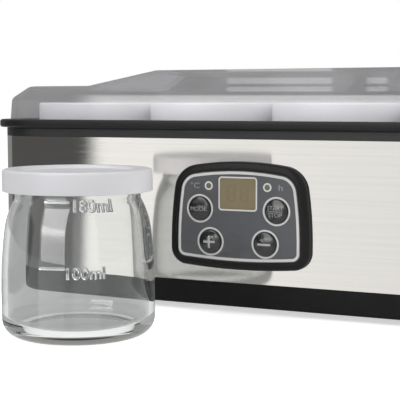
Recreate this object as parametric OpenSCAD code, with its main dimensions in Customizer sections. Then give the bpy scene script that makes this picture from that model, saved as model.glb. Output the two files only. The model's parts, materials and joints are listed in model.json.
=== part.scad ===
// Yogurt maker for twelve glass jars: a heated tub in a steel body, with a clear cover and a
// digital control panel. Millimetres, +Z up, table at z = 0. The origin is the middle of the
// footprint of the whole set, which includes the jar that stands in front of the machine.

/* [Jars] */
// Largest outer radius of a glass jar
jar_r = 36.4; // [34:0.1:38]
// Height of a glass jar without its lid
jar_h = 76.2; // [72:0.1:82]
// Thickness of the jar's glass wall
jar_wall = 2.6; // [2:0.1:3.2]
// Thickness of the jar's glass base
jar_base = 5; // [4:0.1:7]
// Radius of the jar's mouth
jar_mouth_r = 27; // [25:0.1:27.6]
// Outer radius of the jar's lid
lid_r = 35.5; // [34.8:0.1:36]
// Height of the jar's lid
lid_h = 10.4; // [9:0.1:12]
// Thickness of the jar's lid
lid_wall = 1.6; // [1.2:0.1:2]
// Distance between the centres of neighbouring jars
jar_pitch = 74; // [73.6:0.1:80]
// How far the front jar's centre stands in front of the body
front_jar_y = 78.3; // [50:0.1:120]
// Distance of the front jar's centre to the left of the body's middle
front_jar_x = 51.1; // [0:0.1:110]

/* [Body] */
// Space between the outer jars and the outside of the body
jar_margin = 11.1; // [11:0.1:16]
// Radius of the body's upright corners
corner_r = 30; // [28:0.5:34]
// Height of the feet
foot_h = 3; // [2:0.1:6]
// Height of the base pan's visible band
band_h = 12.8; // [11:0.1:18]
// Height of the steel wall
steel_h = 75.4; // [74:0.1:90]
// Thickness of the steel wall
steel_t = 0.6; // [0.4:0.1:0.8]
// Height of the collar ring on the steel wall
collar_h = 4.8; // [4:0.1:7]
// Thickness of the flange that rests on the collar
flange_t = 4.5; // [4:0.1:6]
// How far the flange stands out over the steel wall
flange_out = 4.1; // [3:0.1:6]
// Wall thickness of the black plastic parts
wall = 1.8; // [1.6:0.1:2]
// Height of the seats for the jars over the table
jar_seat_z = 31; // [30.5:0.1:33]

/* [Cover] */
// Thickness of the clear cover
cover_t = 2.2; // [1.8:0.1:2.4]
// How far the cover's foot stands in from the steel wall
cover_inset = 2; // [1.8:0.1:3]
// Height of the cover's border over the flange
cover_border_h = 18.9; // [16:0.1:24]
// Height of the raised centre over the border
plateau_h = 9.6; // [6:0.1:14]
// Width of the raised centre at its top
plateau_w = 157; // [130:1:180]
// Depth of the raised centre at its top
plateau_d = 127.8; // [100:1:140]
// Width of the slope round the raised centre
slope_run = 31; // [24:0.5:34]

/* [Control panel] */
// Width of the panel's frame
bezel_w = 77.6; // [76:0.1:84]
// Height of the frame's lower edge over the table
bezel_z = 23.2; // [22:0.1:28]
// How far the frame stands out from the steel wall
bezel_t = 5; // [4.6:0.1:6]
// Width of the frame round the fascia
bezel_rim = 4.4; // [4:0.1:5]
// Thickness of the fascia
fascia_t = 1.3; // [1:0.1:1.4]
// Radius of a push button
button_r = 6.2; // [5:0.1:6.4]
// Running gap round a button
button_gap = 0.25; // [0.2:0.05:0.4]
// Travel of a button
button_travel = 0.5; // [0.3:0.05:0.6]
// Width of the display window
window_w = 19.8; // [16:0.1:22]
// Height of the display window
window_h = 15.9; // [12:0.1:16]

/* [Hidden] */

$fn = 96;
gap = 0.3;               // clearance between pieces that don't slide on each other
join = 0.5;              // how far pieces of one solid run into each other
arc_steps = 6;           // chords in a rounded corner

// Jar grid: four across and three deep, with the back left place empty
columns = 4;
rows = 3;
inside_jars = 11;
empty_place = 8;

body_w = (columns - 1) * jar_pitch + 2 * jar_r + 2 * jar_margin;
body_d = (rows - 1) * jar_pitch + 2 * jar_r + 2 * jar_margin;
front_y = -body_d / 2;
set_front = front_y - front_jar_y - jar_r;
set_back = body_d / 2 + flange_out;
machine_y = -(set_front + set_back) / 2;

band_top = foot_h + band_h;
steel_top = band_top + steel_h;
collar_top = steel_top + collar_h;
flange_top = collar_top + flange_t;
tub_wall = jar_margin - wall - 1.9;      // outside of the tub's wall, in from the body's face
floor_t = 2;
seat_depth = 1.2;
seat_r = jar_r - 2.8;
tub_bottom = jar_seat_z - floor_t;

pan_floor_t = 2.5;
pan_floor_top = foot_h + pan_floor_t;
lip_h = 4.2;                              // lips that hold the steel wall's two edges
post_x = body_w / 2 - 20.5;
post_y = body_d / 2 - 20.5;
post_r = 4.5;
post_top = tub_bottom - 9;
screw_r = 1.5;
screw_head_r = 3.2;
screw_head_h = 1.6;
foot_x = body_w / 2 - 30.5;
foot_y = body_d / 2 - 30.5;
foot_r = 9;
foot_neck_r = 4;
vent_x = -45;

plate_t = 1.2;
plate_inset = 15;
plate_bottom = tub_bottom - plate_t;
wire_r = 1.5;
wire_passes = 6;
wire_edge = 10.5;                         // outer turns, in from the plate's edges
wire_pitch = (body_d - 2 * plate_inset - 2 * wire_edge) / wire_passes;
wire_half_x = body_w / 2 - plate_inset - wire_pitch - 1.5;
wire_z = plate_bottom - wire_r - 0.1;
strap_t = 0.6;
strap_w = 8;

rebate = 0.8;
cover_foot_z = flange_top - rebate;
cover_draft = 0.85;
bend_r = 4;
brow_r = 7;
shoulder_angle = 56;
border_z = flange_top + cover_border_h;
bend_x = -cover_inset - cover_draft - bend_r;
bend_z = border_z - 9.2;
brow_z = border_z - brow_r;
brow_x = bend_x + (bend_r - brow_r) * cos(shoulder_angle)
    - (brow_z - bend_z + (brow_r - bend_r) * sin(shoulder_angle)) * tan(shoulder_angle);

// Outline of the control panel's frame: arcs that run into each other
foot_arc_r = 320;                         // bowed foot
foot_corner_r = 9;
side_r = 200;                             // bowed sides
side_low = 1;
side_turn = 8.3;
top_corner_r = 14;
top_turn = 81;                            // arched top
foot_corner_x = bezel_w / 2 - side_r + (side_r - foot_corner_r) * cos(side_low);
foot_turn = asin(foot_corner_x / (foot_arc_r - foot_corner_r));
foot_corner_y = foot_arc_r - (foot_arc_r - foot_corner_r) * cos(foot_turn);
side_x = bezel_w / 2 - side_r;
side_y = foot_corner_y + (side_r - foot_corner_r) * sin(side_low);
top_corner_x = side_x + (side_r - top_corner_r) * cos(side_turn);
top_corner_y = side_y + (side_r - top_corner_r) * sin(side_turn);
top_arc_r = top_corner_x / cos(top_turn) + top_corner_r;
top_arc_y = top_corner_y - (top_arc_r - top_corner_r) * sin(top_turn);
crown = 3.2;                              // height of the frame's rounded edge

skirt_in = 3.8;                           // the frame's skirt, in from its outer edge
skirt_t = 1.6;
skirt_depth = 3.4;
fascia_back = bezel_t - 0.7 - fascia_t;   // height of the fascia's back over the steel wall
ledge_w = 1.6;
ledge_t = 1.2;
fascia_in = bezel_rim + gap / 3;
top_buttons_x = 21.4;
top_buttons_y = 31.6;
low_buttons_x = 15.3;
low_buttons_y = 14.5;
button_spots = [
    [-top_buttons_x, top_buttons_y],
    [top_buttons_x, top_buttons_y],
    [-low_buttons_x, low_buttons_y],
    [low_buttons_x, low_buttons_y]
];
button_collar = 0.9;
button_collar_t = 0.8;
button_stand = 1.3;                       // how far a button's dome stands over the fascia
window_y = 39.85;
window_r = 0.9;
indicator_x = 16.35;
indicator_y = 43.7;
indicator_r = 1.15;
board_front = -5.0;                       // front of the control board, behind the steel's face
board_t = 1.4;
board_w = 62;
board_h = 42;
board_y = 27.8;
switch_size = 6;
switch_h = 3.1;
plunger_r = 1.7;
plunger_h = 0.8;
plunger_top = board_front + switch_h + plunger_h;
stem_end = plunger_top + button_travel + gap;
stem_r = 2;
board_screw_r = 0.95;
board_screw_in = 2.9;                     // screws in from the board's sides
board_screw_up = 4.6;                     // and from its upper and lower edges
boss_r = 2.4;
web_t = 1.6;
screw_spots = [
    for (sx = [-1, 1], sy = [-1, 1])
        [sx * (board_w / 2 - board_screw_in), board_y + sy * (board_h / 2 - board_screw_up)]
];
led_r = 1.4;
lens_flange_t = 1.2;

// Power supply in the base
board_z = foot_h + 7;
power_t = 1.6;
power_w = 92;
power_d = 62;
power_x = 50;
power_y = 48;
power_post_in = 5;
board_posts = [
    for (sx = [-1, 1], sy = [-1, 1])
        [power_x + sx * (power_w / 2 - power_post_in), power_y + sy * (power_d / 2 - power_post_in)]
];
power_top = board_z + power_t;
ribbon_x = 12.4;
ribbon_w = 12;
ribbon_t = 0.8;

// Heater
strap_spots = [-80, 0, 80];
sensor_x = 20;
sensor_r = 2.2;
fuse_x = -50;
fuse_y = -32;
fuse_r = 2;

gland_x = 96;
gland_z = tub_bottom - 5.8;
gland_hole_r = 5.2;
gland_room_r = 8;                         // room in the pan's rear lip for the gland
cord_r = 3.2;

// Jar
foot_ring_r = 27.6;
heel_r = jar_r - foot_ring_r;
push_up = 1.2;
body_z = 22;                              // where the jar's side starts to draw in
shoulder_z = 50;
neck_z = 65;
side_arc_r = 231;
shoulder_arc_r = 41;
lean = asin((shoulder_z - body_z) / side_arc_r);
shoulder_x = jar_r - side_arc_r + (side_arc_r - shoulder_arc_r) * cos(lean);
shoulder_y = shoulder_z - shoulder_arc_r * sin(lean);
neck_turn = asin((neck_z - shoulder_y) / shoulder_arc_r);
neck_r = shoulder_x + shoulder_arc_r * cos(neck_turn);
finish_r = lid_r - lid_wall - gap;
finish_h = 5;
finish_edge = 0.8;

// ---------- shared shapes ----------

// Points of an arc in a plane
function arc(x, y, r, from, to) =
    [for (i = [0:arc_steps]) let (a = from + (to - from) * i / arc_steps) [x + r * cos(a), y + r * sin(a)]];

// The same arc without its first point, to carry on from another arc
function arc_on(x, y, r, from, to) = [for (i = [1:arc_steps]) arc(x, y, r, from, to)[i]];

// Moves a piece of the machine from its own middle to its place behind the front jar
module in_machine() translate([0, machine_y, 0]) children();

// Sweeps an outline round a rounded rectangle. The outline's x is the distance out from the
// rectangle's edge, and its y is the height.
module around(w, d, r) {
    for (side = [0:3]) {
        out = side % 2 == 0 ? w / 2 : d / 2;
        along = (side % 2 == 0 ? d / 2 : w / 2) - r;
        rotate(90 * side) {
            translate([out, along, 0]) rotate([90, 0, 0]) linear_extrude(2 * along) children();
            translate([out - r, along, 0]) rotate_extrude(angle = 90) translate([r, 0]) children();
        }
    }
}

// An outline of straight lines, given as distance out and height, swept round the body
module round_body(points) around(body_w, body_d, corner_r) polygon(points);

// A flat plate with rounded corners
module plate(w, d, r, z, t) {
    x = w / 2 - r;
    y = d / 2 - r;
    outline = concat(arc(x, y, r, 0, 90), arc(-x, y, r, 90, 180), arc(-x, -y, r, 180, 270),
        arc(x, -y, r, 270, 360));
    translate([0, 0, z]) linear_extrude(t) polygon(outline);
}

// Places one child at each corner of a rectangle
module at_corners(x, y) for (sx = [-1, 1], sy = [-1, 1]) translate([sx * x, sy * y, 0]) children();

// Six posts: the corners and the middle of the two long sides
module at_posts() {
    at_corners(post_x, post_y) children();
    for (sy = [-1, 1]) translate([0, sy * post_y, 0]) children();
}

// ---------- base ----------

module base_pan() {
    inner = -wall - steel_t - gap / 3;
    color("#1e1e20") in_machine() difference() {
        union() {
            round_body([[-wall - 1, foot_h], [-1.6, foot_h], [-0.4, foot_h + 0.5], [0, foot_h + 1.7],
                [0, band_top], [-steel_t - gap / 3, band_top], [-steel_t - gap / 3, band_top + lip_h],
                [inner, band_top + lip_h], [inner, pan_floor_top], [-wall - 1, pan_floor_top]]);
            plate(body_w - 2 * wall, body_d - 2 * wall, corner_r - wall, foot_h, pan_floor_t);
            at_posts() translate([0, 0, foot_h]) cylinder(h = post_top - foot_h, r = post_r);
            for (spot = board_posts)
                translate([spot[0], spot[1], foot_h]) cylinder(h = board_z - foot_h, r = 3.5);
        }
        at_posts() {
            translate([0, 0, foot_h - 1]) cylinder(h = post_top, r = screw_r + 0.1);
            translate([0, 0, foot_h - 1]) cylinder(h = 1 + 4, r = screw_head_r + gap);
        }
        at_corners(foot_x, foot_y) translate([0, 0, foot_h - 1]) cylinder(h = 5, r = foot_neck_r + 0.1);
        // ventilation slots under the heater
        for (i = [-5:5], row = [-1, 1])
            translate([vent_x + i * 9 - 2, row * 30 - 16, foot_h - 1]) cube([4, 32, 5]);
        // room for the gland in the rear lip
        translate([gland_x, body_d / 2 - 8, gland_z]) rotate([-90, 0, 0])
            cylinder(h = 8 - steel_t, r = gland_room_r);
    }
}

module rubber_feet() {
    color("#2b2b2b") in_machine() at_corners(foot_x, foot_y) rotate_extrude()
        polygon([[0, 0], [foot_r - 0.8, 0], [foot_r, 0.8], [foot_r, foot_h], [foot_neck_r, foot_h],
            [foot_neck_r, pan_floor_top], [foot_neck_r + 1, pan_floor_top],
            [foot_neck_r - 1, pan_floor_top + 3], [0, pan_floor_top + 3]]);
}

module base_screws() {
    color("silver") in_machine() at_posts() translate([0, 0, foot_h + 4 - screw_head_h]) difference() {
        union() {
            cylinder(h = screw_head_h, r = screw_head_r);
            cylinder(h = post_top + 6 - foot_h - 4 + screw_head_h, r = screw_r);
        }
        for (turn = [0, 90]) rotate(turn) translate([-2, -0.4, -1]) cube([4, 0.8, 2]);
    }
}

// ---------- body ----------

module steel_shell() {
    color("#d8d6d0") in_machine() difference() {
        round_body([[-steel_t, band_top], [0, band_top], [0, steel_top], [-steel_t, steel_top]]);
        panel_cut(skirt_in - gap);
        translate([gland_x, body_d / 2 - 8, gland_z]) rotate([-90, 0, 0])
            cylinder(h = 16, r = gland_hole_r + 0.1);
    }
}

module collar_ring() {
    lip = -steel_t - gap / 3;
    color("#242425") in_machine()
        round_body([[0, steel_top], [0, collar_top - 0.5], [-1, collar_top - 0.5], [-1, collar_top],
            [-tub_wall + gap, collar_top], [-tub_wall + gap, steel_top], [lip - wall, steel_top],
            [lip - wall, steel_top - lip_h], [lip, steel_top - lip_h], [lip, steel_top]]);
}

module inner_tub() {
    round_r = 1.2;
    inside = -tub_wall - wall;
    color("#1f1f20") in_machine() difference() {
        union() {
            around(body_w, body_d, corner_r) difference() {
                union() {
                    polygon([[inside, tub_bottom], [-tub_wall, tub_bottom], [-tub_wall, collar_top],
                        [flange_out - 1.6, collar_top], [flange_out - 0.6, collar_top + 0.4],
                        [flange_out, collar_top + 1.4], [flange_out, flange_top - 1.4],
                        [flange_out - 0.4, flange_top - 0.4], [flange_out - 1.4, flange_top],
                        [inside + round_r, flange_top], [inside + 0.35, flange_top - 0.35],
                        [inside, flange_top - round_r]]);
                }
                // rebate for the cover's foot
                translate([-cover_inset - cover_t - gap, cover_foot_z]) square([cover_t + 2 * gap, 2]);
                // hollow under the overhang
                translate([0.6, collar_top - 1]) square([flange_out - 2.4, 1 + flange_t - 2]);
            }
            plate(body_w + 2 * inside + 2 * join, body_d + 2 * inside + 2 * join,
                corner_r + inside + join, tub_bottom, floor_t + seat_depth);
            at_posts() translate([0, 0, post_top]) cylinder(h = tub_bottom - post_top + join, r = post_r);
        }
        for (place = [0:columns * rows - 1]) translate([place_x(place), place_y(place), jar_seat_z])
            cylinder(h = 5, r = seat_r);
        at_posts() translate([0, 0, post_top - 1]) cylinder(h = 8, r = screw_r + 0.05);
    }
}

// ---------- heater ----------

module heating_plate() {
    w = body_w - 2 * plate_inset;
    d = body_d - 2 * plate_inset;
    color("#c8c9cb") in_machine() difference() {
        plate(w, d, corner_r - plate_inset, plate_bottom, plate_t);
        at_posts() translate([0, 0, plate_bottom - 1]) cylinder(h = plate_t + 2, r = post_r + gap);
    }
}

// Serpentine of insulated wire under the plate, with half-round turns
module heating_wire() {
    first_y = -(wire_passes - 1) * wire_pitch / 2;
    color("#b9502f") in_machine() translate([0, 0, wire_z]) {
        for (i = [0:wire_passes - 1])
            translate([-wire_half_x, first_y + i * wire_pitch, 0]) rotate([0, 90, 0])
                cylinder(h = 2 * wire_half_x, r = wire_r);
        for (i = [0:wire_passes - 2]) {
            side = i % 2 == 0 ? 1 : -1;
            translate([side * wire_half_x, first_y + (i + 0.5) * wire_pitch, 0]) rotate(side > 0 ? -90 : 90)
                rotate_extrude(angle = 180) translate([wire_pitch / 2, 0]) circle(r = wire_r);
        }
    }
}

// Aluminium straps across the wire, with their feet on the plate
module wire_straps() {
    reach = wire_passes * wire_pitch / 2;
    under = wire_z - wire_r - 0.1;
    color("#b4b6b9") in_machine() for (x = strap_spots)
        translate([x - strap_w / 2, 0, 0]) rotate([90, 0, 90]) linear_extrude(strap_w) union() {
            translate([-reach + 4, under - strap_t]) square([2 * reach - 8, strap_t]);
            for (s = [-1, 1]) translate([s * (reach - 4) - (s > 0 ? strap_t : 0), under - strap_t])
                square([strap_t, plate_bottom - under + strap_t]);
            for (s = [-1, 1]) translate([s > 0 ? reach - 4 : -reach, plate_bottom - strap_t])
                square([4, strap_t]);
        }
}

module temperature_sensor() {
    color("#101418") in_machine() translate([sensor_x, 0, plate_bottom - sensor_r - 0.1]) rotate([0, 90, 0])
    {
        cylinder(h = 14, r = sensor_r);
        translate([0, 0, 14]) cylinder(h = 10, r = sensor_r - 0.8);
    }
}

// Saddle that holds the sensor to the plate
module sensor_clip() {
    outer = sensor_r + 0.2 + strap_t;
    color("#b4b6b9") in_machine() translate([sensor_x + 3, 0, plate_bottom]) rotate([90, 0, 90])
        linear_extrude(8) difference() {
            union() {
                translate([0, -sensor_r - 0.1]) circle(r = outer);
                translate([-outer, -sensor_r - 0.1]) square([2 * outer, sensor_r + 0.1]);
                translate([-outer - 4, -strap_t]) square([2 * outer + 8, strap_t]);
            }
            translate([0, -sensor_r - 0.1]) circle(r = sensor_r + 0.1);
            translate([-sensor_r - 0.1, -sensor_r - 0.1]) square([2 * sensor_r + 0.2, sensor_r + 1]);
            translate([-20, 0]) square([40, 10]);
        }
}

module thermal_fuse() {
    color("#d9dadb") in_machine() translate([fuse_x, fuse_y, plate_bottom - fuse_r - 0.1]) rotate([0, 90, 0])
    {
        cylinder(h = 11, r = fuse_r);
        translate([0, 0, -8]) cylinder(h = 30, r = 0.5);
    }
}

// ---------- power supply in the base ----------

module power_board() {
    color("#2f6b3a") in_machine() difference() {
        union() {
            translate([power_x - power_w / 2, power_y - power_d / 2, board_z])
                cube([power_w, power_d, power_t]);
            for (spot = board_posts)
                translate([spot[0], spot[1], board_z]) cylinder(h = power_t + 1.4, r = 2.8);
            // rectifier and driver chips
            translate([power_x + 4, power_y - 24, power_top - 0.1]) cube([9, 7, 2.6]);
            translate([power_x - 12, power_y - 24, power_top - 0.1]) cube([7, 9, 2.6]);
        }
        for (spot = board_posts)
            translate([spot[0] - 2, spot[1] - 0.4, power_top + 0.8]) cube([4, 0.8, 2]);
    }
}

module power_transformer() {
    size = [24, 20, 9];
    color("#e0b52c") in_machine() translate([power_x - 22, power_y + 4, power_top]) {
        translate([-size[0] / 2, -size[1] / 2, 0]) cube([size[0], size[1], 2]);
        translate([-size[0] / 2 + 3, -size[1] / 2, 2 - 0.1]) cube([size[0] - 6, size[1], size[2] - 4 + 0.2]);
        translate([-size[0] / 2, -size[1] / 2, size[2] - 2]) cube([size[0], size[1], 2]);
    }
}

module power_relay() {
    color("#27405f") in_machine() translate([power_x + 12, power_y - 8, power_top]) cube([19, 15, 10.4]);
}

module power_capacitor() {
    color("#20242c") in_machine() translate([power_x + 4, power_y + 15, power_top]) rotate_extrude()
        polygon([[0, 0], [4.6, 0], [4.6, 1.2], [4.2, 1.6], [5, 2.2], [5, 9.6], [4.5, 10.2], [0, 10.2]]);
}

module terminal_block() {
    ways = 3;
    pitch = 7;
    behind = 7;                               // its back, in from the board's back edge
    color("#dcd9cf") in_machine()
        translate([power_x + 16, power_y + power_d / 2 - behind - 12, power_top]) difference() {
        cube([ways * pitch + 1, 12, 9]);
        for (i = [0:ways - 1]) {
            translate([(i + 0.5) * pitch + 0.5, 4, 4]) cylinder(h = 8, r = 2.2);
            translate([(i + 0.5) * pitch - 1.5, 6, 1.2]) cube([4, 10, 4]);
        }
    }
}

// Flat cable from the control board to the power board
module ribbon_cable() {
    start_y = front_y - board_front + board_t + 0.05;
    end_y = power_y - power_d / 2 + 6;
    top = bezel_z + board_y - board_h / 2 + 4;
    low = power_top;
    color("#8d8f94") in_machine() translate([ribbon_x, 0, 0]) rotate([90, 0, 90])
        linear_extrude(ribbon_w) union() {
        translate([start_y, low + 1]) square([ribbon_t, top - low - 1]);
        translate([start_y, low]) square([end_y - start_y, ribbon_t]);
        translate([start_y, low]) square([ribbon_t, 2]);
    }
}

module cord_gland() {
    flange_r = gland_hole_r + 1.8;
    color("#161616") in_machine() translate([gland_x, body_d / 2, gland_z]) rotate([-90, 0, 0])
        rotate_extrude() polygon([[cord_r, -7], [gland_hole_r + 0.8, -7], [gland_hole_r + 1.3, -2.5],
            [gland_hole_r + 1.3, -steel_t - 0.1], [gland_hole_r, -steel_t - 0.1], [gland_hole_r, 0.1],
            [flange_r, 0.1], [flange_r, 1.2], [flange_r - 1, 2.4], [cord_r, 2.4]]);
}

// ---------- control panel ----------
// Modelled lying down: x across, y up from the frame's lower edge, z out of the steel wall.

module stand_up() translate([0, front_y, bezel_z]) rotate([90, 0, 0]) children();

// The right half of the frame's outline, moved in by an amount, from the middle of its foot up
function frame_half(in) = concat(
    arc(0, foot_arc_r, foot_arc_r - in, -90, foot_turn - 90),
    arc_on(foot_corner_x, foot_corner_y, foot_corner_r - in, foot_turn - 90, -side_low),
    arc_on(side_x, side_y, side_r - in, -side_low, side_turn),
    arc_on(top_corner_x, top_corner_y, top_corner_r - in, side_turn, top_turn),
    arc_on(0, top_arc_y, top_arc_r - in, top_turn, 90)
);

// The whole outline: the right half, then the left half back down
function frame_outline(in) = let (half = frame_half(in)) concat(
    half,
    [for (i = [len(half) - 2:-1:1]) [-half[i][0], half[i][1]]]
);

// The hole for the panel's skirt, cut through the front wall
module panel_cut(in) stand_up() translate([0, 0, -4]) linear_extrude(8) polygon(frame_outline(in));

// A ring of the frame's outline between two insets
module frame_ring(outer, inner, z, t) translate([0, 0, z]) linear_extrude(t) difference() {
    polygon(frame_outline(outer));
    polygon(frame_outline(inner));
}

// A skin through the frame's outline at several insets and heights, closed at both ends
module loft(levels) {
    rings = [for (level = levels) [for (p = frame_outline(level[0])) [p[0], p[1], level[1]]]];
    n = len(rings[0]);
    last = (len(rings) - 1) * n;
    polyhedron(
        points = [for (ring = rings) each ring],
        faces = concat(
            [[for (i = [0:n - 1]) i]],
            [for (k = [0:len(rings) - 2], i = [0:n - 1]) let (j = (i + 1) % n)
                [k * n + i, (k + 1) * n + i, (k + 1) * n + j]],
            [for (k = [0:len(rings) - 2], i = [0:n - 1]) let (j = (i + 1) % n)
                [k * n + i, (k + 1) * n + j, k * n + j]],
            [[for (i = [n - 1:-1:0]) last + i]]
        )
    );
}

module control_bezel() {
    edge_step = 18;
    levels = concat([[0, 0]], [for (a = [0:edge_step:90])
        [crown * (1 - cos(a)), bezel_t - crown + crown * sin(a)]]);
    color("#0f1011") in_machine() stand_up() difference() {
        union() {
            difference() {
                loft(levels);
                translate([0, 0, -1]) linear_extrude(bezel_t + 2) polygon(frame_outline(bezel_rim));
            }
            frame_ring(skirt_in, bezel_rim + ledge_w, fascia_back - ledge_t, ledge_t);
            frame_ring(skirt_in, skirt_in + skirt_t, -skirt_depth, fascia_back + skirt_depth - ledge_t / 2);
            // screw bosses, on webs from the skirt
            intersection() {
                translate([0, 0, board_front]) linear_extrude(fascia_back - board_front)
                    polygon(frame_outline(skirt_in + skirt_t / 2));
                for (spot = screw_spots) {
                    translate([spot[0], spot[1], board_front])
                        cylinder(h = fascia_back - board_front, r = boss_r);
                    translate([spot[0] - (spot[0] > 0 ? 0 : bezel_w / 2), spot[1] - web_t / 2, -skirt_depth])
                        cube([bezel_w / 2, web_t, fascia_back + skirt_depth]);
                }
            }
        }
        for (spot = screw_spots) translate([spot[0], spot[1], board_front - 1])
            cylinder(h = 6, r = board_screw_r + 0.05);
    }
}

module panel_fascia() {
    color("#55575b") in_machine() stand_up() difference() {
        translate([0, 0, fascia_back]) linear_extrude(fascia_t) polygon(frame_outline(fascia_in));
        for (spot = button_spots)
            translate([spot[0], spot[1], 0]) cylinder(h = 10, r = button_r + button_gap);
        for (s = [-1, 1])
            translate([s * indicator_x, indicator_y, 0]) cylinder(h = 10, r = indicator_r + 0.05);
        translate([0, window_y, 0]) plate(window_w + 0.1, window_h + 0.1, window_r, 0, 10);
    }
}

module display_lens() {
    color("#8c7d5f") in_machine() stand_up() translate([0, window_y, 0]) {
        plate(window_w, window_h, window_r, fascia_back, fascia_t - 0.2);
        plate(window_w + 3, window_h + 2.4, window_r, fascia_back - 1, 1);
    }
}

module display_module() {
    top = fascia_back - 1.1;
    color("#33352f") in_machine() stand_up() {
        translate([-window_w / 2, window_y - window_h / 2, board_front])
            cube([window_w, window_h, top - board_front]);
    }
}

module indicator_lens(x) {
    low = fascia_back - lens_flange_t;
    face = fascia_back + fascia_t;
    color("#8a8f5a") in_machine() stand_up() translate([x, indicator_y, 0]) rotate_extrude()
        polygon([[0, low], [indicator_r + 0.9, low], [indicator_r + 0.9, fascia_back],
            [indicator_r, fascia_back], [indicator_r, face], [indicator_r * 0.6, face + 0.3],
            [0, face + 0.4]]);
}

module indicator_leds() {
    dome_z = fascia_back - lens_flange_t - gap - led_r;
    color("#e8e6d8") in_machine() stand_up() for (s = [-1, 1]) translate([s * indicator_x, indicator_y, 0]) {
        translate([0, 0, board_front]) cylinder(h = 1.2, r = 1.9);
        translate([0, 0, board_front]) cylinder(h = dome_z - board_front, r = led_r);
        translate([0, 0, dome_z]) intersection() {
            sphere(r = led_r);
            cylinder(h = led_r + 1, r = led_r + 1);
        }
    }
}

module control_board() {
    chips = [[-8, -4, 12, 8], [12, -6, 7, 5], [7 - board_w / 2, -6, 6, 6]];
    color("#1f5f3a") in_machine() stand_up() translate([0, board_y, 0]) difference() {
        union() {
            translate([-board_w / 2, -board_h / 2, board_front - board_t]) cube([board_w, board_h, board_t]);
            for (chip = chips) translate([chip[0], chip[1], board_front - board_t - 0.9])
                cube([chip[2], chip[3], 1]);
        }
        for (spot = screw_spots) translate([spot[0], spot[1] - board_y, board_front - 5])
            cylinder(h = 10, r = board_screw_r + 0.2);
    }
}

module board_screws() {
    color("silver") in_machine() stand_up() for (spot = screw_spots)
        translate([spot[0], spot[1], board_front - board_t]) difference() {
        union() {
            cylinder(h = 5, r = board_screw_r);
            translate([0, 0, -0.9]) cylinder(h = 0.9, r = 2);
        }
        translate([-1.5, -0.25, -2]) cube([3, 0.5, 1.5]);
    }
}

module tact_switches() {
    color("#4a4c50") in_machine() stand_up() for (spot = button_spots)
        translate([spot[0], spot[1], board_front]) {
        translate([-switch_size / 2, -switch_size / 2, 0]) cube([switch_size, switch_size, switch_h]);
        translate([0, 0, switch_h - join]) cylinder(h = plunger_h + join, r = plunger_r);
    }
}

// A domed button that a collar keeps behind the fascia, with a stem over its switch
module button(i) {
    face = fascia_back + fascia_t + 0.1;
    collar_z = fascia_back - 0.05;
    collar_r = button_r + button_gap + button_collar;
    low = collar_z - button_collar_t;
    edge = 1.2;
    rise = button_stand - 0.1;
    color("#0c0c0e") in_machine() stand_up() translate([button_spots[i][0], button_spots[i][1], 0])
        rotate_extrude() polygon(concat(
            [[0, stem_end], [stem_r, stem_end], [stem_r, low], [collar_r, low], [collar_r, collar_z],
                [button_r, collar_z], [button_r, face]],
            [for (a = [15:15:75]) [button_r - edge + edge * cos(a), face + rise * sin(a)]],
            [[0, face + rise]]
        ));
}

// ---------- cover ----------

// The cover's wall, shoulder and border, moved in by an amount, filled to the corner's centre
function cover_edge(in) = concat(
    [[-cover_inset - in, cover_foot_z - (in > 0 ? 1 : 0)]],
    arc(bend_x, bend_z, bend_r - in, 4, shoulder_angle),
    arc(brow_x, brow_z, brow_r - in, shoulder_angle, 90),
    [[-corner_r, border_z - in], [-corner_r, cover_foot_z - (in > 0 ? 1 : 0)]]
);

// The raised centre as a filled frustum with mitred corners, lowered by an amount
module raised_centre(in) {
    foot = border_z - in - 2 * join;
    top = border_z + plateau_h - in;
    run = slope_run * (1 + 2 * join / plateau_h);
    reach = body_w;
    intersection() {
        translate([0, reach / 2, 0]) rotate([90, 0, 0]) linear_extrude(reach)
            polygon([[-plateau_w / 2 - run, foot], [plateau_w / 2 + run, foot],
                [plateau_w / 2, top], [-plateau_w / 2, top]]);
        translate([-reach / 2, 0, 0]) rotate([90, 0, 90]) linear_extrude(reach)
            polygon([[-plateau_d / 2 - run, foot], [plateau_d / 2 + run, foot],
                [plateau_d / 2, top], [-plateau_d / 2, top]]);
    }
}

// The outer or the inner surface of the cover as a filled solid
module cover_solid(in) {
    start = cover_foot_z - (in > 0 ? 1 : 0);
    round_body(cover_edge(in));
    translate([-body_w / 2 + corner_r, -body_d / 2 + corner_r, start])
        cube([body_w - 2 * corner_r, body_d - 2 * corner_r, border_z - in - start]);
    raised_centre(in);
}

module cover() {
    color("#9fa1a6", 0.5) in_machine() difference() {
        cover_solid(0);
        cover_solid(cover_t);
    }
}

// ---------- jars ----------

function place_x(place) = (place % columns - (columns - 1) / 2) * jar_pitch;
function place_y(place) = (floor(place / columns) - (rows - 1) / 2) * jar_pitch;

// Jars 1 to 11 fill the grid from the front left, and skip the empty place. Jar 12 stands in front.
function jar_spot(i) = let (place = i - 1 < empty_place ? i - 1 : i)
    i <= inside_jars ? [place_x(place), place_y(place), jar_seat_z]
        : [-front_jar_x, front_y - front_jar_y, 0];

// Side of the jar from heel to neck, moved in by an amount
function jar_side(in, heel) = concat(
    arc(jar_r - heel_r, heel, heel_r - in, -90, 0),
    arc(jar_r - side_arc_r, body_z, side_arc_r - in, 0, lean),
    arc(shoulder_x, shoulder_y, shoulder_arc_r - in, lean, neck_turn)
);

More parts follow.
